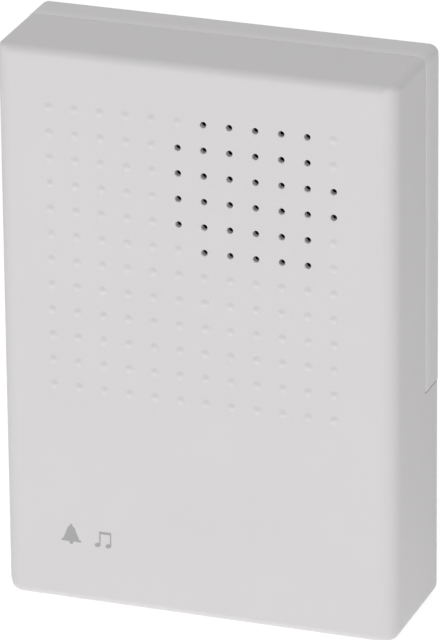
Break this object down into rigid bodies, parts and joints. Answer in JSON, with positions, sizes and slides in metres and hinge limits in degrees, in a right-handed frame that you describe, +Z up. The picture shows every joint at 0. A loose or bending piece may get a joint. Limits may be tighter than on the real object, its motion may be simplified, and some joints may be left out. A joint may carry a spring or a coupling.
{
  "type": "doorbell chime box",
  "caption": "Slim upright wall chime box with a dotted speaker field, rounded white cover, loudspeaker, melody board and cell bay behind a pull-off rear door.",
  "frame": {"origin": "middle of the back face, on the wall plane", "axes": "+Z up the box, +Y out of the back towards the wall, the front looks along -Y"},
  "size_m": [0.0692, 0.0223, 0.0981],
  "materials": {
    "white_abs": "moulded white plastic with a fine satin grain",
    "zinc_steel": "zinc-plated steel",
    "foam_gasket": "black foam",
    "ferrite": "sintered dark grey ferrite",
    "cone_paper": "pressed dark paper pulp",
    "copper_wire": "enamelled copper winding",
    "phenolic_board": "brown phenolic board",
    "nickel_plate": "nickel-plated steel",
    "black_resin": "black moulded resin",
    "capacitor_sleeve": "dark blue shrink sleeve",
    "resistor_coat": "tan lacquer",
    "ceramic_coat": "ochre lacquer",
    "terminal_plastic": "green moulded plastic",
    "cell_jacket": "printed metal jacket, plain dark grey",
    "red_insulation": "red insulation",
    "black_insulation": "black insulation",
    "grey_insulation": "grey insulation",
    "solder": "bright solder"
  },
  "bodies": {
    "case": {"front_cover": "white_abs", "rear_shell": "white_abs", "case_screws": "zinc_steel", "clamp_screws": "zinc_steel", "board_screws": "zinc_steel", "clamp_washers": "zinc_steel", "speaker_frame": "zinc_steel", "speaker_top_plate": "zinc_steel", "speaker_yoke": "zinc_steel", "speaker_gasket": "foam_gasket", "speaker_magnet": "ferrite", "circuit_board": "phenolic_board", "speaker_tag_board": "phenolic_board", "speaker_tags": "nickel_plate", "terminal_screws": "nickel_plate", "positive_contact": "nickel_plate", "negative_contact": "nickel_plate", "series_link": "nickel_plate", "negative_spring": "nickel_plate", "series_spring": "nickel_plate", "melody_chip": "black_resin", "driver_transistor": "black_resin", "electrolytic_capacitor": "capacitor_sleeve", "resistors": "resistor_coat", "ceramic_capacitors": "ceramic_coat", "terminal_block": "terminal_plastic", "upper_cell": "cell_jacket", "lower_cell": "cell_jacket", "positive_wire": "red_insulation", "negative_wire": "black_insulation", "speaker_wires": "grey_insulation", "solder_joints": "solder"},
    "door": {"battery_door": "white_abs"},
    "cone": {"diaphragm": "cone_paper", "voice_coil": "copper_wire"}
  },
  "joints": [
    {"name": "door_pull", "type": "slide", "parent": "case", "child": "door", "axis": [0, 1, 0], "range_m": [0, 0.03]},
    {"name": "cone_slide", "type": "slide", "parent": "case", "child": "cone", "axis": [0, 1, 0], "range_m": [-0.0003, 0.0003], "stiffness_N_per_m": 100}
  ]
}
